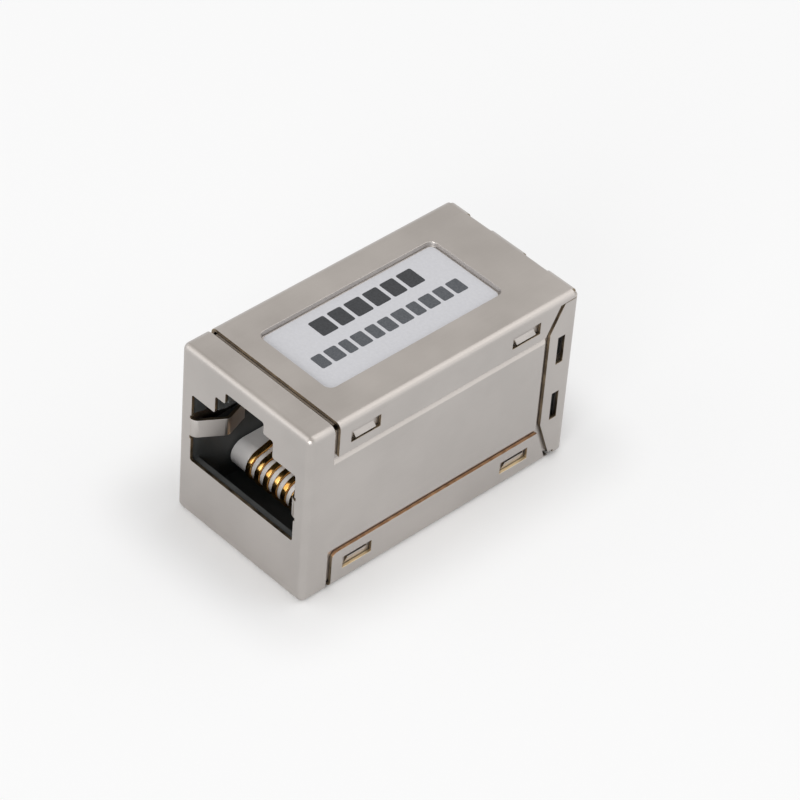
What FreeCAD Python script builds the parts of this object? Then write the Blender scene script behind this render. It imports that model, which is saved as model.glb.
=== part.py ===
"""Shielded RJ45 inline coupler: a box of three folded sheets with a jack at each end.

X runs across the jacks, Y from the front jack to the rear one, Z up. The origin is on the
underside, midway between the ends. Depths are measured back from the front face. Millimetres.
"""
import FreeCAD
import Part
import math
import os

from FreeCAD import Vector

# Overall box
length = 28.5
width = 14.8
height = 16.9

# Folded sheet
sheet = 0.3
bend_radius = 0.6
slip = 0.03              # between a flange and the panel it lies on
seam = 0.5               # between the edges of two sheets
joggle_run = 0.3         # length of the slope where a panel steps in
corner_relief = 0.5      # of the opening where three bends meet
corner_trim = 0.05       # between a sheet's edge and the start of another sheet's bend

# Main shell: front strip and the raised field of each side panel
strip_depth = 2.55
tongue_reach = 1.4       # of the tongue from the strip's top edge, under the top cover
field_bottom = 4.1
field_top = 13.15
ledge = 0.55             # from the raised field to the edge of the flange beside it

# Rear flaps, folded forward from the rear face
flap_reach = 3.0
flap_taper = 1.4
flap_low_kink = 4.3      # from the underside to where the flap's front edge turns back
flap_top_kink = 3.2      # and from the top of the box
rear_lip = 1.15

# Windows of the flanges and the hooks that stand in them
window_length = 3.0
window_height = 1.15
window_inset = 4.25      # from either end of the box to the windows
upper_window_edge = 1.2  # from the top of the box to the upper windows
lower_window_edge = 1.45 # from the underside to the lower windows
hook_gap = 0.2           # between the catching edges of hook and window
hook_side_gap = 0.45
upper_hook_climb = 0.4
lower_hook_climb = 0.9
lance = 0.1              # cut that frees the hook's edge from its panel

# Slots of the rear flaps, each over a larger hole of the side panel
slot_length = 2.75
slot_width = 0.75
slot_inset = 1.25        # from the rear face to the slot
slot_spacing = 5.85
slot_middle = 8.6        # height midway between the two slots
slot_margin = 0.2        # from the slot's edge to the hole's edge

# Slots in the bend between the top and the rear face
bend_slot_length = 2.7
bend_slot_spacing = 6.4
bend_slot_shift = -0.5
bend_slot_width = 0.45

# Label and its pressed pocket
pocket_front = 5.1
pocket_rear = 4.9        # from the pocket to the rear face
pocket_width = 8.3
pocket_shift = -0.3
pocket_depth = 0.45
pocket_slope = 0.1
pocket_corner = 0.7
label_gap = 0.12         # between the label and the walls of its pocket
label_thickness = 0.08

# Jack opening: main mouth and the two steps over it for the plug's latch
mouth_floor = 5.8
mouth_width = 11.9
mouth_height = 6.7
latch_shoulder_width = 6.6
latch_shoulder_height = 1.65
latch_slot_width = 4.35
latch_slot_height = 1.1
mouth_corner = 0.2

# Ground springs, folded in from the sides of the opening
spring_width = 1.75
spring_middle = 9.15
spring_peak_depth = 2.4
spring_peak_inset = 1.5
spring_end_depth = 4.6
spring_end_inset = 0.75
spring_root = 0.15       # from the edge of the opening out to the bend
spring_bend = 0.45
spring_relief = 0.3

# Jack housing
housing_gap = 0.07       # between the housing and the side panels
housing_end_gap = 0.15   # between the two housings, to the middle of the box
housing_underside = 0.5
housing_top_gap = 0.05   # under the label pocket
collar_gap = 0.1         # over and under the housing's collar, inside the front strip
collar_depth = 1.65
cavity_inset = 0.08      # from the sheet's opening to the moulded cavity
lead_in_depth = 0.8
lead_in_inset = 0.2
latch_wall = 1.3
latch_pocket_depth = 9.0
floor_depth = 0.8        # floor of the mouth in front of the contacts
pit_floor = 1.8
spring_room = 0.3
spring_room_depth = 5.4
board_gap = 0.4          # before the board, in the housing
rail_width = 0.7

# Contacts: narrow strips bent round the nose of the carrier
contact_count = 8
contact_pitch = 1.02
contact_width = 0.5
contact_thickness = 0.4
contact_proud = 0.2      # how far a contact stands out of its groove in the nose
nose_depth = 5.4
nose_height = 4.0
nose_radius = 1.3
contact_rise = 15.0      # degrees
contact_end = 0.9        # from the face of the comb into its slot
tail_bend = 0.5
tail_lead = 2.5          # from the middle of the two rows of tails to the comb
tail_row_spacing = 1.6
tail_below_board = 0.4

# Contact carrier
carrier_width = 11.5
carrier_top = 5.3
groove_clearance = 0.03
groove_flats = 8         # of the grooves' floors, drawn as an octagon round the nose
comb_thickness = 2.4
comb_gap = 1.9           # between the combs of the two carriers
comb_top = 12.1
comb_slot_depth = 1.4
comb_slot_height = 2.6
lug_width = 0.6          # lugs under the comb, in notches of the board's edges
lug_length = 1.2
lug_inset = 0.6

# Circuit board
board_width = 11.6
board_end_depth = 7.0    # from the front of the box to the board
board_thickness = 1.2
board_height = 1.2
hole_clearance = 0.04
hole_flats = 6           # drawn as hexagons
notch_clearance = 0.1

# Worked out from the above
half_width = width / 2
window_spacing = length - 2 * window_inset - window_length
pocket_length = length - pocket_front - pocket_rear
label_inset = pocket_slope + label_gap
board_length = length - 2 * board_end_depth
board_bay_depth = board_end_depth - board_gap
comb_depth = (length - comb_gap) / 2 - comb_thickness
contact_end_depth = comb_depth + contact_end
tail_depth = comb_depth - tail_lead
rebate = sheet + slip
panel_outside = half_width - rebate
panel_inside = panel_outside - sheet
fold_inset = bend_radius + corner_trim
panel_bottom = fold_inset
panel_top = height - fold_inset
cover_front = strip_depth + seam
flap_front = length - flap_reach
field_end = flap_front - seam
joggle_shift = sheet * math.tan(math.atan2(rebate, joggle_run) / 2)
latch_shoulder_top = mouth_floor + mouth_height + latch_shoulder_height
latch_slot_top = latch_shoulder_top + latch_slot_height
pocket_underside = height - pocket_depth - sheet
housing_half_width = panel_inside - housing_gap
housing_end = length / 2 - housing_end_gap
cavity_half_width = mouth_width / 2 - cavity_inset
board_top = board_height + board_thickness
contact_inside = nose_radius + contact_proud - contact_thickness
beyond = 2.0             # how far a cutting tool runs past what it cuts
tolerance = 0.01         # for telling edges apart by their places


def at(x, depth, z):
    """Point at a depth measured back from the front face."""
    return Vector(x, depth - length / 2, z)


def block(x0, x1, depth0, depth1, z0, z1):
    return Part.makeBox(x1 - x0, depth1 - depth0, z1 - z0, at(x0, depth0, z0))


def fused(shapes):
    whole = shapes[0].multiFuse(shapes[1:])
    return whole.removeSplitter()


def both_sides(shape):
    """The shape and its mirror image on the other side of the coupler."""
    return [shape, shape.mirror(Vector(0, 0, 0), Vector(1, 0, 0))]


def turned(shape):
    """Copy turned half a turn about the upright axis, for the rear jack."""
    copy = shape.copy()
    copy.rotate(Vector(0, 0, 0), Vector(0, 0, 1), 180)
    return copy


def outline_face(corners):
    return Part.Face(Part.makePolygon(corners + corners[:1]))


def side_prism(outline, x0, x1):
    """Prism across X from an outline of (depth, z) points."""
    face = outline_face([at(x0, depth, z) for depth, z in outline])
    return face.extrude(Vector(x1 - x0, 0, 0))


def front_prism(outline, depth0, depth1):
    """Prism along Y from an outline of (x, z) points."""
    face = outline_face([at(x, depth0, z) for x, z in outline])
    return face.extrude(Vector(0, depth1 - depth0, 0))


def rounded(shape, radius, wanted):
    """Fillet the edges whose bounding boxes are wanted."""
    edges = [edge for edge in shape.Edges if wanted(edge.BoundBox)]
    return shape.makeFillet(radius, edges)


def along_y(box):
    return box.XLength + box.ZLength < tolerance


def rounded_path(points, radius):
    """Wire of straight runs joined by tangent arcs."""
    edges = []
    start = points[0]
    for before, corner, after in zip(points, points[1:], points[2:]):
        back = (before - corner).normalize()
        on = (after - corner).normalize()
        half_turn = (math.pi - back.getAngle(on)) / 2
        reach = radius * math.tan(half_turn)
        to_arc = radius / math.cos(half_turn) - radius
        entry = corner + back * reach
        leave = corner + on * reach
        middle = corner + (back + on).normalize() * to_arc
        edges.append(Part.makeLine(start, entry))
        edges.append(Part.Arc(entry, middle, leave).toShape())
        start = leave
    edges.append(Part.makeLine(start, points[-1]))
    return Part.Wire(edges)


def rounded_rectangle(centre, size_x, size_y, radius):
    """Level wire with round corners about a centre point."""
    half_x = size_x / 2
    half_y = size_y / 2
    corners = [(half_x, half_y), (-half_x, half_y), (-half_x, -half_y), (half_x, -half_y)]
    start = centre + Vector(half_x, 0, 0)
    points = [start] + [centre + Vector(x, y, 0) for x, y in corners] + [start]
    return rounded_path(points, radius)


# ---------------------------------------------------------------- openings and ground springs

def mouth_tool(depth0, depth1):
    """Prism through the stepped opening of the jack, to cut the sheet with."""
    floor = mouth_floor
    ceiling = mouth_floor + mouth_height
    half_steps = [
        (mouth_width / 2, floor), (mouth_width / 2, ceiling),
        (latch_shoulder_width / 2, ceiling), (latch_shoulder_width / 2, latch_shoulder_top),
        (latch_slot_width / 2, latch_shoulder_top), (latch_slot_width / 2, latch_slot_top)]
    outline = half_steps + [(-x, z) for x, z in reversed(half_steps)]
    return rounded(front_prism(outline, depth0, depth1), mouth_corner, along_y)


def spring_reliefs():
    """Notches beside the root of each ground spring, which free its bend."""
    edge = mouth_width / 2
    low = spring_middle - spring_width / 2
    high = spring_middle + spring_width / 2
    notches = []
    for z0, z1 in ((low - spring_relief, low), (high, high + spring_relief)):
        notch = block(edge - beyond / 2, edge + spring_root, -beyond, sheet + beyond, z0, z1)
        notches += both_sides(notch)
    return notches


def ground_springs():
    """The two tabs folded in from the sides of the front opening."""
    edge = mouth_width / 2
    path = rounded_path([
        at(edge + spring_root + bend_radius, sheet, 0),
        at(edge - spring_root, sheet, 0),
        at(edge - spring_peak_inset, spring_peak_depth, 0),
        at(edge - spring_end_inset, spring_end_depth, 0)], spring_bend)
    strip = path.makeOffset2D(-sheet, fill=True, openResult=True)
    tab = strip.extrude(Vector(0, 0, spring_width))
    tab.translate(Vector(0, 0, spring_middle - spring_width / 2))
    return both_sides(tab)


# ---------------------------------------------------------------- main shell

def front_cup():
    """Rounded front face and the short strip round it."""
    front_y = -length / 2
    outside = block(-half_width, half_width, 0, strip_depth, 0, height)
    inside = block(sheet - half_width, half_width - sheet, sheet, strip_depth + beyond, sheet, height - sheet)

    def folded(box, y_front):
        return along_y(box) or box.YMax < y_front + tolerance

    outside = rounded(outside, bend_radius, lambda box: folded(box, front_y))
    inside = rounded(inside, bend_radius - sheet, lambda box: folded(box, front_y + sheet))
    return outside.cut(inside)


def field_outline(grow):
    """(depth, z) outline of the raised part of a side panel, with the front strip."""
    inner = strip_depth / 2
    strip = strip_depth + grow
    end = field_end + grow
    low = field_bottom - grow
    high = field_top + grow
    return [(inner, panel_bottom), (strip, panel_bottom), (strip, low), (end, low),
            (end, high), (strip, high), (strip, panel_top), (inner, panel_top)]


def raised_field(x_low, grow_low, x_high, grow_high):
    """Block with sloping edges between two sizes of the field's outline."""
    wires = []
    for x, grow in ((x_low, grow_low), (x_high, grow_high)):
        corners = [at(x, depth, z) for depth, z in field_outline(grow)]
        wires.append(Part.makePolygon(corners + corners[:1]))
    return Part.makeLoft(wires, True, True)


def side_panel():
    """Right-hand panel: raised field, stepped in where the covers lie on it."""
    panel_end = length - fold_inset
    plate = block(panel_inside, panel_outside, strip_depth / 2 + sheet, panel_end, panel_bottom, panel_top)
    outer = raised_field(panel_outside, joggle_run, half_width, 0)
    inner = raised_field(panel_inside, joggle_run - joggle_shift, half_width - sheet, -joggle_shift)
    return plate.fuse(outer).cut(inner)


def hooks():
    """Right-hand hooks, ramps of sheet up to the covers' surface, and their lanced holes."""
    ramps = []
    holes = []
    upper_tip = height - upper_window_edge - window_height + hook_gap
    lower_tip = lower_window_edge + window_height - hook_gap
    for front in (window_inset, window_inset + window_spacing):
        span0 = front + hook_side_gap
        span1 = front + window_length - hook_side_gap
        for tip, climb in ((upper_tip, upper_hook_climb), (lower_tip, -lower_hook_climb)):
            root = tip + climb
            free = tip - math.copysign(lance, climb)
            ramps.append(front_prism([(panel_outside, root), (half_width, tip), (half_width - sheet, tip),
                                      (panel_inside, root)], span0, span1))
            holes.append(block(panel_inside - slip, panel_outside + slip, span0, span1,
                               min(root, free), max(root, free)))
    return ramps, holes


def flap_slots(x0, x1, margin):
    """Tools for the slots of the rear flaps, or with a margin for the holes behind them."""
    rear = length - slot_inset + margin
    tools = []
    for side in (-1, 1):
        centre = slot_middle + side * slot_spacing / 2
        reach = slot_length / 2 + margin
        tools.append(block(x0, x1, rear - slot_width - 2 * margin, rear, centre - reach, centre + reach))
    return tools


def strip_tongue():
    """Tongue from the strip's top edge, stepped down to lie under the top cover."""
    under = height - rebate
    step = strip_depth + joggle_run
    root = strip_depth / 2
    end = cover_front + tongue_reach
    reach = half_width - fold_inset - slip
    outline = [
        (root, height), (strip_depth, height), (step, under), (end, under), (end, under - sheet),
        (step - joggle_shift, under - sheet), (strip_depth - joggle_shift, height - sheet),
        (root, height - sheet)]
    return side_prism(outline, -reach, reach)


def make_main_shell():
    ramps, holes = hooks()
    holes += flap_slots(panel_inside - slip, panel_outside + slip, slot_margin)
    side = side_panel().cut(holes)
    sides = both_sides(fused([side] + ramps))
    shell = fused([front_cup(), strip_tongue()] + sides)
    shell = shell.cut([mouth_tool(-beyond, sheet + beyond / 2)] + spring_reliefs())
    return fused([shell] + ground_springs())


# ---------------------------------------------------------------- covers

def window_tools(low):
    """Windows through both flanges, above a height."""
    tools = []
    for front in (window_inset, window_inset + window_spacing):
        tools.append(block(-half_width - beyond, half_width + beyond, front, front + window_length,
                           low, low + window_height))
    return tools


def flap_edge(offset):
    """(depth, z) points up the front edge of the rear flap, moved forward by an offset."""
    turned_back = flap_front + flap_taper - offset
    straight = flap_front - offset
    return [(turned_back, fold_inset - sheet), (straight, flap_low_kink),
            (straight, height - flap_top_kink), (turned_back, height - fold_inset)]


def make_top_cover():
    """Top, side flanges, rear face and rear flaps, folded from one sheet."""
    rear_y = length / 2

    def folded(box, y_rear, z_top):
        long_top = along_y(box) and box.ZMin > z_top - tolerance
        return long_top or box.YMin > y_rear - tolerance

    outside = block(-half_width, half_width, cover_front, length, 0, height)
    inside = block(sheet - half_width, half_width - sheet, cover_front - beyond, length - sheet,
                   sheet, height - sheet)
    outside = rounded(outside, bend_radius, lambda box: folded(box, rear_y, height))
    inside = rounded(inside, bend_radius - sheet, lambda box: folded(box, rear_y - sheet, height - sheet))
    cover = outside.cut(inside)

    past = length + beyond
    flange_edge = field_top + ledge
    low, lower, upper, high = flap_edge(0)
    seam_top = (high[0] - seam, high[1])
    flange_slope = (upper[0] - high[0]) / (upper[1] - high[1])
    flange_corner = (seam_top[0] + flange_slope * (flange_edge - high[1]), flange_edge)
    open_side = [
        (cover_front - beyond, -beyond), (cover_front - beyond, flange_edge), flange_corner, seam_top,
        (seam_top[0], high[1] + corner_trim), (past, high[1] + corner_trim), (past, high[1]), high,
        upper, lower, low, (past, low[1]), (past, -beyond)]
    trim = side_prism(open_side, half_width - fold_inset, half_width + beyond)
    relief = block(half_width - corner_relief, half_width + beyond, length - corner_relief, past,
                   height - corner_relief, height + beyond)
    underside = block(-half_width - beyond, half_width + beyond, cover_front - beyond,
                      length - rear_lip, -beyond, fold_inset)
    tools = both_sides(trim) + both_sides(relief) + [underside]

    tools += window_tools(height - upper_window_edge - window_height)
    tools += flap_slots(-half_width - beyond, half_width + beyond, 0)
    for side in (-1, 1):
        middle = bend_slot_shift + side * bend_slot_spacing / 2
        tools.append(block(middle - bend_slot_length / 2, middle + bend_slot_length / 2,
                           length - bend_slot_width, length + beyond, height - fold_inset, height + beyond))
    tools += [turned(tool) for tool in [mouth_tool(-beyond, sheet + beyond / 2)] + spring_reliefs()]

    pocket_centre = at(pocket_shift, pocket_front + pocket_length / 2, height)
    pocket = pocket_solid(pocket_centre, 0)
    pressed = pocket_solid(pocket_centre - Vector(0, 0, sheet), sheet)
    cover = fused([cover, pressed]).cut(pocket).cut(tools)
    return fused([cover] + [turned(spring) for spring in ground_springs()])


def pocket_solid(centre, grow):
    """Tapering recess of the label, grown outwards all round for its underside."""
    corner = pocket_corner + grow
    rims = []
    for z, inset in ((0, 0), (-pocket_depth, pocket_slope)):
        rims.append(rounded_rectangle(centre + Vector(0, 0, z), pocket_width + 2 * (grow - inset),
                                      pocket_length + 2 * (grow - inset), corner - inset))
    return Part.makeLoft(rims, True, True)


def make_bottom_cover():
    """Channel with low flanges, folded from one sheet."""
    flange_top = field_bottom - ledge
    low, lower, _, _ = flap_edge(seam)
    rear = length - rear_lip - seam
    outside = block(-half_width, half_width, cover_front, rear, 0, flange_top)
    inside = block(sheet - half_width, half_width - sheet, cover_front - beyond, rear + beyond, sheet, height)
    outside = rounded(outside, bend_radius, lambda box: along_y(box) and box.ZMax < tolerance)
    inside = rounded(inside, bend_radius - sheet, lambda box: along_y(box) and box.ZMax < sheet + tolerance)
    front_y = cover_front - length / 2

    def flange_corner(box):
        return box.YMax < front_y + tolerance and box.ZMin > flange_top - tolerance

    cover = rounded(outside.cut(inside), bend_radius, flange_corner)
    corner = side_prism([low, lower, (rear + beyond, lower[1]), (rear + beyond, low[1])],
                        -half_width - beyond, half_width + beyond)
    return cover.cut([corner] + window_tools(lower_window_edge))


def make_label():
    centre = at(pocket_shift, pocket_front + pocket_length / 2, height - pocket_depth)
    outline = rounded_rectangle(centre, pocket_width - 2 * label_inset, pocket_length - 2 * label_inset,
                                pocket_corner - label_inset)
    return Part.Face(outline).extrude(Vector(0, 0, label_thickness))


# ---------------------------------------------------------------- jack housing

def lead_in():
    """Tapering mouth of the moulded cavity."""
    face = sheet + slip
    rims = []
    for depth, inset in ((face, cavity_inset - lead_in_inset), (face + lead_in_depth, cavity_inset)):
        x = mouth_width / 2 - inset
        z0 = mouth_floor + inset
        z1 = mouth_floor + mouth_height - inset
        corners = [at(-x, depth, z0), at(x, depth, z0), at(x, depth, z1), at(-x, depth, z1)]
        rims.append(Part.makePolygon(corners + corners[:1]))
    return Part.makeLoft(rims, True, True)


def make_jack_housing():
    """Front housing: cavity, latch channel, pit for the carrier's nose and bay for the board."""
    face = sheet + slip
    body = block(-housing_half_width, housing_half_width, face, housing_end,
                 housing_underside, pocket_underside - housing_top_gap)
    collar = block(-housing_half_width, housing_half_width, bend_radius + slip, face + collar_depth,
                   sheet + collar_gap, height - sheet - collar_gap)
    housing = fused([body, rounded(collar, bend_radius, along_y)])

    z0 = mouth_floor + cavity_inset
    z1 = mouth_floor + mouth_height - cavity_inset
    shoulder = latch_shoulder_width / 2 - cavity_inset
    slot = latch_slot_width / 2 - cavity_inset
    latch_top = latch_slot_top - cavity_inset
    through = housing_end + beyond
    tools = [
        block(-cavity_half_width, cavity_half_width, 0, through, z0, z1),
        lead_in(),
        block(-shoulder, shoulder, 0, latch_wall, z1 - slip, latch_shoulder_top - cavity_inset),
        block(-slot, slot, 0, latch_wall + beyond, z1 - slip, latch_top),
        block(-shoulder, shoulder, latch_wall, latch_pocket_depth, z1 - slip, latch_top),
        block(-cavity_half_width, cavity_half_width, floor_depth, through, pit_floor, z0 + slip),
        block(-cavity_half_width, cavity_half_width, board_bay_depth, through, 0, z0 + slip)]
    for side in both_sides(block(cavity_half_width - slip, housing_half_width + slip, 0, spring_room_depth,
                                 spring_middle - spring_width / 2 - spring_room,
                                 spring_middle + spring_width / 2 + spring_room)):
        tools.append(side)
    rail = block(cavity_half_width - rail_width, cavity_half_width + slip, board_bay_depth, housing_end,
                 housing_underside, board_height)
    return fused([housing.cut(tools)] + both_sides(rail))


# ---------------------------------------------------------------- contacts, carrier and board

def contact_places():
    """X of each contact, with the depth of its tail: alternate tails are in two rows."""
    middle = (contact_count - 1) / 2
    places = []
    for index in range(contact_count):
        row = index % 2
        places.append(((index - middle) * contact_pitch, tail_depth + row * tail_row_spacing))
    return places


def nose_point(angle, x):
    """Point on the contacts' inner face round the nose, by the angle from straight back."""
    turn = math.radians(angle)
    return at(x, nose_depth + contact_inside * math.cos(turn), nose_height + contact_inside * math.sin(turn))


def make_contact(x, tail):
    """Strip from its tail in the board, forward under the carrier, round the nose and up the cavity."""
    edge = x - contact_width / 2
    rear = tail + contact_thickness / 2
    bottom = nose_point(270, edge)
    front = nose_point(180, edge)
    top = nose_point(90 + contact_rise, edge)
    reach = at(edge, contact_end_depth, 0).y - top.y
    end = top + Vector(0, reach, reach * math.tan(math.radians(contact_rise)))
    tail_end = at(edge, rear, board_height - tail_below_board)
    under = rounded_path([tail_end, at(edge, rear, bottom.z), bottom], tail_bend)
    path = Part.Wire(under.Edges + [Part.Arc(bottom, front, top).toShape(), Part.makeLine(top, end)])
    strip = path.makeOffset2D(-contact_thickness, fill=True, openResult=True)
    return strip.extrude(Vector(contact_width, 0, 0))


def groove_tools(x, tail):
    """What the carrier leaves free round one contact: nose groove, two straight grooves and a comb slot."""
    floor_radius = contact_inside - groove_clearance
    x0 = x - contact_width / 2 - groove_clearance
    x1 = x + contact_width / 2 + groove_clearance
    core = []
    for corner in range(groove_flats):
        turn = 2 * math.pi * corner / groove_flats
        core.append((nose_depth + floor_radius * math.cos(turn), nose_height + floor_radius * math.sin(turn)))
    top = nose_point(90 + contact_rise, x)
    climb = carrier_top + groove_clearance - top.z
    arm_clear = top.y + length / 2 + climb / math.tan(math.radians(contact_rise))
    before = block(x0, x1, nose_depth - beyond, nose_depth, 0, height)
    slot_top = carrier_top + comb_slot_height
    return [
        before.cut(side_prism(core, x0, x1)),
        block(x0, x1, nose_depth, tail + contact_thickness, 0, nose_height - floor_radius),
        block(x0, x1, nose_depth - slip, arm_clear, nose_height + floor_radius, carrier_top + beyond),
        block(x0, x1, comb_depth - beyond, comb_depth + comb_slot_depth, carrier_top, slot_top)]


def lug(outer, gap):
    """Right-hand lug under the comb out to an outer face, or with a gap its notch in the board."""
    inner = carrier_width / 2 - lug_width
    front = comb_depth + lug_inset
    rear = front + lug_length
    return block(inner - gap, outer, front - gap, rear + gap, board_height - gap, board_top + gap)


def make_contact_carrier():
    """Plate with a round, grooved nose and a comb at the back for the contacts' free ends."""
    half = carrier_width / 2
    plate = block(-half, half, nose_depth, comb_depth + slip, nose_height - nose_radius, carrier_top)
    nose = Part.makeCylinder(nose_radius, carrier_width, at(-half, nose_depth, nose_height), Vector(1, 0, 0))
    comb = block(-half, half, comb_depth, comb_depth + comb_thickness, board_top, comb_top)
    carrier = fused([plate, nose, comb])
    tools = []
    for x, tail in contact_places():
        tools += groove_tools(x, tail)
    return fused([carrier.cut(tools)] + both_sides(lug(half, 0)))


def make_circuit_board():
    """Board with a hole for each contact's tail and notches for the carriers' lugs."""
    board = Part.makeBox(board_width, board_length, board_thickness,
                         Vector(-board_width / 2, -board_length / 2, board_height))
    tail_reach = math.hypot(contact_width, contact_thickness) / 2
    radius = (tail_reach + hole_clearance) / math.cos(math.pi / hole_flats)
    openings = both_sides(lug(board_width / 2 + beyond, notch_clearance))
    for x, tail in contact_places():
        corners = []
        for corner in range(hole_flats):
            turn = 2 * math.pi * (corner + 0.5) / hole_flats
            across = radius * math.cos(turn)
            along = radius * math.sin(turn)
            corners.append(at(x + across, tail + along, board_height - beyond))
        openings.append(outline_face(corners).extrude(Vector(0, 0, board_thickness + 2 * beyond)))
    return board.cut(openings + [turned(opening) for opening in openings])


def make_parts():
    parts = {
        "main_shell": make_main_shell(),
        "top_cover": make_top_cover(),
        "bottom_cover": make_bottom_cover(),
        "label": make_label(),
        "circuit_board": make_circuit_board()}
    jack = {"jack_housing": make_jack_housing(), "contact_carrier": make_contact_carrier()}
    for name, shape in jack.items():
        parts["front_" + name] = shape
        parts["rear_" + name] = turned(shape)
    for number, (x, tail) in enumerate(contact_places(), 1):
        contact = make_contact(x, tail)
        parts[f"contact_front_{number}"] = contact
        parts[f"contact_rear_{number}"] = turned(contact)
    return parts


os.makedirs("parts", exist_ok=True)
for part_name, part_shape in make_parts().items():
    part_shape.exportStep(f"parts/{part_name}.step")
    print(part_name, len(part_shape.Solids), round(part_shape.Volume, 3), part_shape.isValid())
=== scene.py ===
"""Looks of an RJ45 inline coupler: satin plated shield, black jacks with gilt contacts, and a label.

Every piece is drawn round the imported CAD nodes, in metres, in their frame: X to the right looking
into the front jack, Y from front to rear, Z up.
"""

import math

import bmesh
import bpy
from mathutils import Matrix, Vector
from mathutils.bvhtree import BVHTree


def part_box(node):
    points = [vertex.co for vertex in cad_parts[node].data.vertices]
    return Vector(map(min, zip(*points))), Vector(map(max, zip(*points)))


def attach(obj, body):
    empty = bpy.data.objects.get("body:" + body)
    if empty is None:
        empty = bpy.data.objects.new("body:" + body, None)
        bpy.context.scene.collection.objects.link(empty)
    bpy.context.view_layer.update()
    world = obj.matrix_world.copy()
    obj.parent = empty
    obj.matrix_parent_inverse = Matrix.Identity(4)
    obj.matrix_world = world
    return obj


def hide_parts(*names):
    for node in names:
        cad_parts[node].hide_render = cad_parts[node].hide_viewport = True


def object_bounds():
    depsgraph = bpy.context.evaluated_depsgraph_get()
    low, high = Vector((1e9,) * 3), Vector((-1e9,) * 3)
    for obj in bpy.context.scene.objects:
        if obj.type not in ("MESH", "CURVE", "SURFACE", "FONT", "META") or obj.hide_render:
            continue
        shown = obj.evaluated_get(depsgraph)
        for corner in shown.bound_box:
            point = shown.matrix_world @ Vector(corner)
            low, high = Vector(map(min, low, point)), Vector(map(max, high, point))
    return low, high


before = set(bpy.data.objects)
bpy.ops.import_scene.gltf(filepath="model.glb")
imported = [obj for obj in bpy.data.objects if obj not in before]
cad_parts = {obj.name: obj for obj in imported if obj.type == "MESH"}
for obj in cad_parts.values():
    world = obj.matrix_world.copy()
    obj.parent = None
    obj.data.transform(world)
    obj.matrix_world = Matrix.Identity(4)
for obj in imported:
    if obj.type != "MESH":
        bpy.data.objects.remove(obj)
cad_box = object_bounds()

MM = 0.001

# Camera
AIM = Vector((1.24, 1.29, 8.3)) * MM
AIM_DISTANCE = 302.9 * MM
AZIMUTH = 43.87          # degrees round from the front, towards the right
ELEVATION = 41.2
ROLL = 4.7
LENS = 173.1            # millimetres
SENSOR = 36             # its width, in millimetres
NEAREST = 0.01          # metres from the camera to where it starts to see

# Meshes
WELD = 0.0005 * MM        # corners nearer than this are one
FLAT = math.radians(0.4)  # faces that turn by less than this are one
FACET = math.radians(32)  # a sharper edge than this isn't a facet of a curve
EDGE = 0.05 * MM          # rounding of sheared and moulded edges
LABEL_EDGE = 0.02 * MM
CONTACT_EDGE = 0.12 * MM

# Sheet of the shield
SHEET = 0.3 * MM
CUT_DEPTH = 1.6 * SHEET   # behind a cut edge the metal goes on for longer than this
POCKET_RIM = 0.6 * MM     # from the label to beyond the walls of its pocket
# On the bottom cover, cut edges that face up are painted as a highlight: lighter copper, paler gold low
# down
UPWARD = 0.5              # rise of a normal from which a cut edge faces up
COPPER_HIGHLIGHT_FROM = 3.4 * MM    # height from which up-facing cut edges of the bottom cover are coppery, painted lighter as a highlight
GOLDEN_HIGHLIGHT_TO = 3.0 * MM      # height up to which they are golden, a paler painted highlight

# Ceiling of the jacks' cavities, which the comb behind the contacts reaches
CAVITY_TOP = 12.42 * MM

# Values of a noise: nearly all are in the first range, and most are in the second
NOISE_REACH = (0.3, 0.7)
NOISE_MIDDLE = (0.35, 0.65)

# Floor
FLOOR_HALF_SIZE = 1.5     # metres
FLOOR_DROP = 0.02 * MM
FLOOR_COLOUR = (0.95, 0.95, 0.95, 1)
GLOW_SHARE = 0.65         # of white in the floor that shows, next to what the lamps light
CONTACT_SHADOW = 8 * MM   # from the coupler to where the floor has that share

# World
WHITE = (1, 1, 1, 1)
DAYLIGHT = 0.5            # strength of the light that it sheds
OVERHEAD = (0.69, 0.665, 0.635, 1)
SKY_FADE = (0.3, 0.65)    # rise of a direction where white starts and ends turning to OVERHEAD

# Lamps: place in metres, side in metres, watts
LAMPS = {"key": ((-0.4, -0.5, 0.42), 0.6, 1.0),
         "over": ((0.1, 0.35, 0.6), 0.6, 1.1),
         "rim": ((0.5, 0.42, 0.4), 0.6, 0.6),
         "fill": ((0.3, -0.62, 0.3), 0.4, 2.2)}

# Print on the label: rows of plain blocks. In a row, x is its two sides, start is its end as measured
# from the label's middle, blocks are lengths and gap is between two of them, all in millimetres.
INK_THICKNESS = 0.01 * MM
INK_CORNER = 0.16 * MM
CORNER_STEPS = 4
HEAVY_ROW = {"x": (-3.25, -1.35), "start": -5.1, "gap": 0.35,
             "blocks": (1.6, 1.4, 1.6, 1.5, 1.4, 1.55)}
LIGHT_ROW = {"x": (-0.1, 1.45), "start": -7.7, "gap": 0.32,
             "blocks": (1.0, 1.2, 0.9, 1.2, 1.0, 1.1, 1.3, 1.0, 1.2, 1.1, 1.2)}


def linear(red, green, blue):
    """Linear colour of a shade written in the usual 0 to 255 steps."""
    return tuple(((value / 255 + 0.055) / 1.055) ** 2.4 for value in (red, green, blue)) + (1,)


# ---------------------------------------------------------------- materials

def add_node(tree, kind, inputs, **settings):
    """Shader node with its settings; each input is a value or another node's output."""
    node = tree.nodes.new(kind)
    for setting, value in settings.items():
        setattr(node, setting, value)
    for socket, value in inputs.items():
        if isinstance(value, bpy.types.NodeSocket):
            tree.links.new(value, node.inputs[socket])
        else:
            node.inputs[socket].default_value = value
    return node


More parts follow.
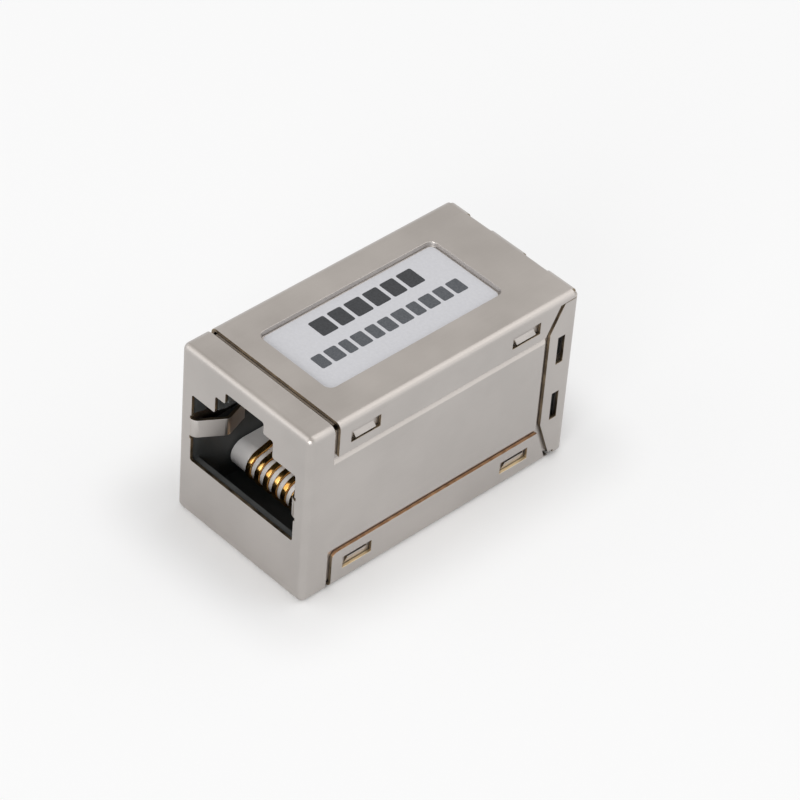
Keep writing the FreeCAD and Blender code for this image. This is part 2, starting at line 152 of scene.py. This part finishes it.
def noise(tree, size, detail=2, stretch=(1, 1, 1)):
    """Noise whose grains are about size metres across, stretched along an axis."""
    place = add_node(tree, "ShaderNodeTexCoord", {}).outputs["Object"]
    scaled = add_node(tree, "ShaderNodeMapping", {"Vector": place, "Scale": [1 / s for s in stretch]})
    grains = add_node(tree, "ShaderNodeTexNoise",
                      {"Vector": scaled.outputs["Vector"], "Scale": 1 / size, "Detail": detail})
    return grains.outputs["Fac"]


def spread(tree, factor, low, high, steps=NOISE_MIDDLE):
    """Ramp of a noise between two colours."""
    ramp = add_node(tree, "ShaderNodeValToRGB", {"Fac": factor})
    for element, position, colour in zip(ramp.color_ramp.elements, steps, (low, high)):
        element.position = position
        element.color = colour
    return ramp.outputs["Color"]


def rescale(tree, factor, low, high):
    """A noise spread over a range of values."""
    scaled = add_node(tree, "ShaderNodeMapRange",
                      {"Value": factor, "From Min": NOISE_REACH[0], "From Max": NOISE_REACH[1],
                       "To Min": low, "To Max": high})
    return scaled.outputs["Result"]


def mix_colours(tree, factor, low, high):
    """Colour between two others."""
    mixed = add_node(tree, "ShaderNodeMix", {"Factor": factor, 6: low, 7: high}, data_type="RGBA")
    return mixed.outputs[2]


def new_material(name, **values):
    """Principled material with fixed values; returns it with its tree and shader."""
    material = bpy.data.materials.new(name)
    material.use_nodes = True
    tree = material.node_tree
    shader = tree.nodes["Principled BSDF"]
    for socket, value in values.items():
        shader.inputs[socket.replace("_", " ")].default_value = value
    return material, tree, shader


def finish_surface(tree, shader, colour, roughness, grain, depth):
    """Connects a colour, a roughness and a bump of the given depth in metres."""
    tree.links.new(colour, shader.inputs["Base Color"])
    tree.links.new(roughness, shader.inputs["Roughness"])
    bump = add_node(tree, "ShaderNodeBump", {"Height": grain, "Distance": depth, "Strength": 1.0})
    tree.links.new(bump.outputs["Normal"], shader.inputs["Normal"])


def mottled(name, patch, dark, pale, roughness, depth, detail=2, grain=None, **values):
    """Surface mottled between two shades, as rough as its patches are dark or pale.

    patch and grain are sizes in metres. The grain is its relief, or the patches where no grain is given.
    """
    material, tree, shader = new_material(name, **values)
    patches = noise(tree, patch, detail)
    relief = noise(tree, grain) if grain else patches
    colour = spread(tree, patches, linear(*dark), linear(*pale))
    finish_surface(tree, shader, colour, rescale(tree, patches, *roughness), relief, depth)
    return material


def plated_steel():
    """Satin nickel plate: faint clouds, rolling marks along the sheet and a fine grain."""
    material, tree, shader = new_material("satin_plate", Metallic=1.0)
    clouds = noise(tree, 5 * MM, detail=3)
    rolled = noise(tree, 0.12 * MM, stretch=(1, 30, 1))
    grain = noise(tree, 0.06 * MM)
    mixed = add_node(tree, "ShaderNodeMix", {"Factor": 0.15, "A": clouds, "B": rolled}).outputs["Result"]
    colour = spread(tree, mixed, linear(182, 177, 173), linear(190, 185, 181))
    finish_surface(tree, shader, colour, rescale(tree, mixed, 0.36, 0.46), grain, 0.0015 * MM)
    return material


def sheared_edge_shaded():
    """Raw cut edge of the sheet, tarnished olive brown and darkened as painted shade in the seams."""
    return mottled("sheared_edge_shaded", 0.9 * MM, (118, 106, 90), (160, 144, 122), (0.35, 0.55),
                   0.004 * MM, detail=3, grain=0.08 * MM, Metallic=1.0)


def copper_edge_highlit():
    """Cut edge where the copper under the plate shows, painted lighter than the other cut edges as a
    highlight, and paler and more golden lower down as a stronger painted highlight.
    """
    material, tree, shader = new_material("copper_edge_highlit", Metallic=1.0)
    smears = noise(tree, 0.9 * MM, detail=3)
    # painted highlight: lighter than the sheared edge, and paler gold lower down
    copper_highlight = spread(tree, smears, linear(168, 128, 96), linear(206, 168, 132))
    golden_highlight = spread(tree, smears, linear(212, 188, 150), linear(234, 214, 176))
    place = add_node(tree, "ShaderNodeTexCoord", {}).outputs["Object"]
    height = add_node(tree, "ShaderNodeSeparateXYZ", {"Vector": place}).outputs["Z"]
    low = add_node(tree, "ShaderNodeMapRange",
                   {"Value": height, "From Min": COPPER_HIGHLIGHT_FROM, "From Max": GOLDEN_HIGHLIGHT_TO})
    colour = mix_colours(tree, low.outputs["Result"], copper_highlight, golden_highlight)
    roughness = rescale(tree, smears, 0.35, 0.55)
    finish_surface(tree, shader, colour, roughness, noise(tree, 0.08 * MM), 0.004 * MM)
    return material


def black_plastic():
    """Satin black moulding of the jacks."""
    return mottled("black_moulding", 2 * MM, (56, 58, 58), (66, 68, 68), (0.45, 0.58),
                   0.002 * MM, grain=0.1 * MM, IOR=1.52)


def pale_plastic():
    """Light grey moulding of the contact carriers."""
    return mottled("pale_moulding", 1.5 * MM, (234, 231, 229), (244, 241, 239), (0.32, 0.45),
                   0.002 * MM, grain=0.08 * MM, IOR=1.5, Subsurface_Weight=0.05,
                   Subsurface_Radius=(0.4 * MM, 0.4 * MM, 0.4 * MM))


def gilt():
    """Gold plate on the contacts."""
    return mottled("gold_plate", 0.6 * MM, (214, 158, 84), (240, 196, 122), (0.16, 0.26),
                   0.001 * MM, grain=0.05 * MM, Metallic=1.0)


def label_stock():
    """Slightly grey coated paper."""
    return mottled("label_stock", 0.25 * MM, (208, 208, 212), (213, 213, 217), (0.45, 0.55),
                   0.001 * MM, detail=4, IOR=1.45)


def ink(name, dark, pale):
    """Printing ink, a little uneven."""
    return mottled(name, 0.15 * MM, dark, pale, (0.4, 0.55), 0.001 * MM, detail=3, IOR=1.45)


def solder_mask():
    """Green board with darker tracks under the mask."""
    material, tree, shader = new_material("solder_mask", IOR=1.5)
    tracks = noise(tree, 0.5 * MM, stretch=(1, 8, 1))
    colour = spread(tree, tracks, linear(18, 78, 46), linear(30, 104, 62), steps=(0.48, 0.52))
    finish_surface(tree, shader, colour, rescale(tree, tracks, 0.25, 0.35), tracks, 0.01 * MM)
    return material


# ---------------------------------------------------------------- pieces

def node_form(node):
    """Welded bmesh copy of a CAD node."""
    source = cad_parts[node].data
    form = bmesh.new()
    corners = [form.verts.new(vertex.co) for vertex in source.vertices]
    for polygon in source.polygons:
        form.faces.new([corners[index] for index in polygon.vertices])
    bmesh.ops.remove_doubles(form, verts=form.verts[:], dist=WELD)
    form.normal_update()
    return form


def mark_cut_edges(form):
    """Gives the second material to faces that have more metal behind them than the sheet is thick,
    and the third to those of them that face up, which on the bottom cover is painted lighter as a
    highlight.

    The walls of the label's pocket are pressed, not cut.
    """
    tree = BVHTree.FromBMesh(form)
    low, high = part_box("label")
    for face in form.faces:
        centre = face.calc_center_median()
        if all(low[axis] - POCKET_RIM < centre[axis] < high[axis] + POCKET_RIM for axis in (0, 1)):
            continue
        start = centre - face.normal * WELD
        depth = tree.ray_cast(start, -face.normal)[3]
        if depth is None or depth > CUT_DEPTH:
            # cut edges that face up take the third material, on the bottom cover a lighter copy painted
            # as a highlight
            face.material_index = 2 if face.normal.z > UPWARD else 1


def make_piece(name, form, materials, bevel=0.0, segments=2):
    """Object of a bmesh, its sharp edges rounded within the form's own box."""
    mesh = bpy.data.meshes.new(name)
    bmesh.ops.dissolve_limit(form, angle_limit=FLAT, verts=form.verts[:], edges=form.edges[:],
                             delimit={"MATERIAL"})
    lowest = [min(vertex.co[axis] for vertex in form.verts) for axis in range(3)]
    highest = [max(vertex.co[axis] for vertex in form.verts) for axis in range(3)]
    form.to_mesh(mesh)
    form.free()
    piece = bpy.data.objects.new(name, mesh)
    bpy.context.scene.collection.objects.link(piece)
    for material in materials:
        mesh.materials.append(material)
    if bevel:
        rounding = piece.modifiers.new("rounding", "BEVEL")
        rounding.width = bevel
        rounding.segments = segments
        rounding.limit_method = "ANGLE"
        rounding.angle_limit = FACET
        rounding.use_clamp_overlap = False
        evaluated = piece.evaluated_get(bpy.context.evaluated_depsgraph_get())
        rounded = bpy.data.meshes.new_from_object(evaluated)
        for vertex in rounded.vertices:
            vertex.co = [min(max(value, low), high)
                         for value, low, high in zip(vertex.co, lowest, highest)]
        piece.modifiers.clear()
        piece.data = rounded
        rounded.name = name
    piece.data.shade_smooth()
    piece.data.set_sharp_from_angle(angle=FACET)
    flatten = piece.modifiers.new("flat_faces", "WEIGHTED_NORMAL")
    flatten.weight = 100  # the larger faces decide
    flatten.keep_sharp = True
    triangles = piece.modifiers.new("triangles", "TRIANGULATE")
    triangles.ngon_method = "BEAUTY"
    triangles.keep_custom_normals = True
    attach(piece, "root")
    return piece


def raise_top(form, height):
    """Carries the topmost faces of a bmesh up to a height."""
    top = max(vertex.co.z for vertex in form.verts)
    for vertex in form.verts:
        if vertex.co.z > top - WELD:
            vertex.co.z = height


def dress(node, name, materials, bevel, segments=2, sheet=False, up_to=None):
    """Rounded copy of a CAD node that stands for it, its top carried up to a height if one is given.

    sheet says that it is sheet metal, whose cut edges show.
    """
    form = node_form(node)
    if sheet:
        mark_cut_edges(form)
    if up_to:
        raise_top(form, up_to)
    piece = make_piece(name, form, materials, bevel, segments)
    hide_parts(node)


def rounded_block(form, x0, x1, y0, y1, z0, z1, corner):
    """Adds a low block with round corners to a bmesh."""
    outline = []
    for cx, cy, turn in ((x1, y1, 0), (x0, y1, 90), (x0, y0, 180), (x1, y0, 270)):
        for step in range(CORNER_STEPS + 1):
            angle = math.radians(turn + step * 90 / CORNER_STEPS)
            side = math.copysign(corner, cx - (x0 + x1) / 2)
            end = math.copysign(corner, cy - (y0 + y1) / 2)
            outline.append((cx - side + corner * math.cos(angle), cy - end + corner * math.sin(angle)))
    face = form.faces.new([form.verts.new((x, y, z0)) for x, y in outline])
    top = bmesh.ops.extrude_face_region(form, geom=[face])
    bmesh.ops.translate(form, verts=[v for v in top["geom"] if isinstance(v, bmesh.types.BMVert)],
                        vec=(0, 0, z1 - z0))


def print_row(row, name, material):
    """Row of plain printed blocks along the label."""
    low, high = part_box("label")
    middle = (low.y + high.y) / 2
    form = bmesh.new()
    start = row["start"] * MM + middle
    for length in row["blocks"]:
        rounded_block(form, row["x"][0] * MM, row["x"][1] * MM, start, start + length * MM,
                      high.z, high.z + INK_THICKNESS, INK_CORNER)
        start += (length + row["gap"]) * MM
    bmesh.ops.recalc_face_normals(form, faces=form.faces[:])
    make_piece(name, form, [material])


def make_object():
    plate = plated_steel()
    sheared = sheared_edge_shaded()
    black = black_plastic()
    pale = pale_plastic()
    gold = gilt()
    # the bottom cover's up-facing cut edges get the lighter copper copy as a painted highlight; all
    # other cut edges get the darker sheared edge, painted shade in the seams
    upper_edges = {"main_shell": sheared, "top_cover": sheared, "bottom_cover": copper_edge_highlit()}
    for node, upper in upper_edges.items():
        dress(node, node + "_plated", [plate, sheared, upper], EDGE, sheet=True)
    dress("label", "label_sticker", [label_stock()], LABEL_EDGE)
    print_row(HEAVY_ROW, "print_heavy", ink("ink_heavy", (44, 46, 50), (60, 62, 66)))
    print_row(LIGHT_ROW, "print_light", ink("ink_light", (74, 77, 82), (92, 95, 100)))
    for end in ("front", "rear"):
        dress(end + "_jack_housing", end + "_jack_moulding", [black], EDGE)
        dress(end + "_contact_carrier", end + "_carrier_moulding", [pale], EDGE,
              up_to=CAVITY_TOP)
        for index in range(1, 9):
            node = f"contact_{end}_{index}"
            dress(node, node + "_gilt", [gold], CONTACT_EDGE, segments=3)
    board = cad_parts["circuit_board"]
    board.data.materials.clear()
    board.data.materials.append(solder_mask())


# ---------------------------------------------------------------- floor, light and camera

def showing(tree):
    """1 for rays that show the background: from the camera, or by reflection or through glass."""
    path = add_node(tree, "ShaderNodeLightPath", {}).outputs
    glossy = add_node(tree, "ShaderNodeMath", {0: path["Is Camera Ray"], 1: path["Is Glossy Ray"]},
                      operation="MAXIMUM")
    either = add_node(tree, "ShaderNodeMath", {0: glossy.outputs[0], 1: path["Is Transmission Ray"]},
                      operation="MAXIMUM")
    return either.outputs[0]


def mix_shaders(tree, factor, first, second, output):
    """Connects a mix of two shader nodes to a new output node."""
    mixed = add_node(tree, "ShaderNodeMixShader",
                     {0: factor, 1: first.outputs[0], 2: second.outputs[0]})
    add_node(tree, output, {"Surface": mixed.outputs[0]})


def make_world():
    """Plain daylight that shows as white at the horizon and a warm grey overhead."""
    world = bpy.data.worlds.new("studio")
    world.use_nodes = True
    tree = world.node_tree
    tree.nodes.clear()
    light = add_node(tree, "ShaderNodeBackground", {"Color": WHITE, "Strength": DAYLIGHT})
    direction = add_node(tree, "ShaderNodeTexCoord", {}).outputs["Generated"]
    rise = add_node(tree, "ShaderNodeSeparateXYZ", {"Vector": direction}).outputs["Z"]
    sky = add_node(tree, "ShaderNodeMapRange",
                   {"Value": rise, "From Min": SKY_FADE[0], "From Max": SKY_FADE[1]})
    paint = mix_colours(tree, sky.outputs["Result"], WHITE, OVERHEAD)
    shown = add_node(tree, "ShaderNodeBackground", {"Color": paint, "Strength": 1.0})
    mix_shaders(tree, showing(tree), light, shown, "ShaderNodeOutputWorld")
    bpy.context.scene.world = world


def away_from_coupler(tree):
    """0 on the floor under the coupler, rising to 1 where its contact shadow ends.

    The coupler stands in the middle of the floor, so one corner of its box is half its size.
    """
    place = add_node(tree, "ShaderNodeTexCoord", {}).outputs["Object"]
    half_size = (cad_box[1][0], cad_box[1][1], 0)
    folded = add_node(tree, "ShaderNodeVectorMath", {0: place}, operation="ABSOLUTE")
    beyond = add_node(tree, "ShaderNodeVectorMath", {0: folded.outputs[0], 1: half_size},
                      operation="SUBTRACT")
    outside = add_node(tree, "ShaderNodeVectorMath", {0: beyond.outputs[0], 1: (0, 0, 0)},
                       operation="MAXIMUM")
    distance = add_node(tree, "ShaderNodeVectorMath", {0: outside.outputs[0]}, operation="LENGTH")
    fade = add_node(tree, "ShaderNodeMapRange",
                    {"Value": distance.outputs["Value"], "From Max": CONTACT_SHADOW},
                    interpolation_type="SMOOTHSTEP")
    return fade.outputs["Result"]


def make_floor():
    form = bmesh.new()
    bmesh.ops.create_grid(form, x_segments=1, y_segments=1, size=FLOOR_HALF_SIZE)
    mesh = bpy.data.meshes.new("floor")
    form.to_mesh(mesh)
    form.free()
    floor = bpy.data.objects.new("floor", mesh)
    floor.location.z = -FLOOR_DROP
    bpy.context.scene.collection.objects.link(floor)
    material = bpy.data.materials.new("pale_floor")
    material.use_nodes = True
    tree = material.node_tree
    tree.nodes.clear()
    lit = add_node(tree, "ShaderNodeBsdfDiffuse", {"Color": FLOOR_COLOUR})
    glow = add_node(tree, "ShaderNodeEmission", {"Color": WHITE, "Strength": 1.0})
    clear = add_node(tree, "ShaderNodeMath", {0: away_from_coupler(tree), 1: GLOW_SHARE},
                     operation="MULTIPLY")
    share = add_node(tree, "ShaderNodeMath", {0: showing(tree), 1: clear.outputs[0]},
                     operation="MULTIPLY")
    mix_shaders(tree, share.outputs[0], lit, glow, "ShaderNodeOutputMaterial")
    mesh.materials.append(material)


def make_lamp(name, place, size, power):
    """Soft square lamp that faces the coupler."""
    data = bpy.data.lights.new(name, "AREA")
    data.size = size
    data.energy = power
    lamp = bpy.data.objects.new(name, data)
    lamp.location = place
    lamp.rotation_euler = (-Vector(place)).to_track_quat("-Z", "Y").to_euler()
    bpy.context.scene.collection.objects.link(lamp)


def make_camera():
    azimuth = math.radians(AZIMUTH)
    elevation = math.radians(ELEVATION)
    back = Vector((math.sin(azimuth) * math.cos(elevation),
                   -math.cos(azimuth) * math.cos(elevation),
                   math.sin(elevation)))
    data = bpy.data.cameras.new("camera")
    data.lens = LENS
    data.sensor_width = SENSOR
    data.clip_start = NEAREST
    camera = bpy.data.objects.new("camera", data)
    facing = back.to_track_quat("Z", "Y").to_matrix().to_4x4()
    roll = Matrix.Rotation(math.radians(ROLL), 4, "Z")
    camera.matrix_world = Matrix.Translation(AIM + back * AIM_DISTANCE) @ facing @ roll
    bpy.context.scene.collection.objects.link(camera)
    bpy.context.scene.camera = camera


make_camera()
make_world()
make_floor()
for lamp, settings in LAMPS.items():
    make_lamp(lamp, *settings)
make_object()
bpy.context.scene.view_settings.view_transform = "Standard"

bpy.context.view_layer.update()
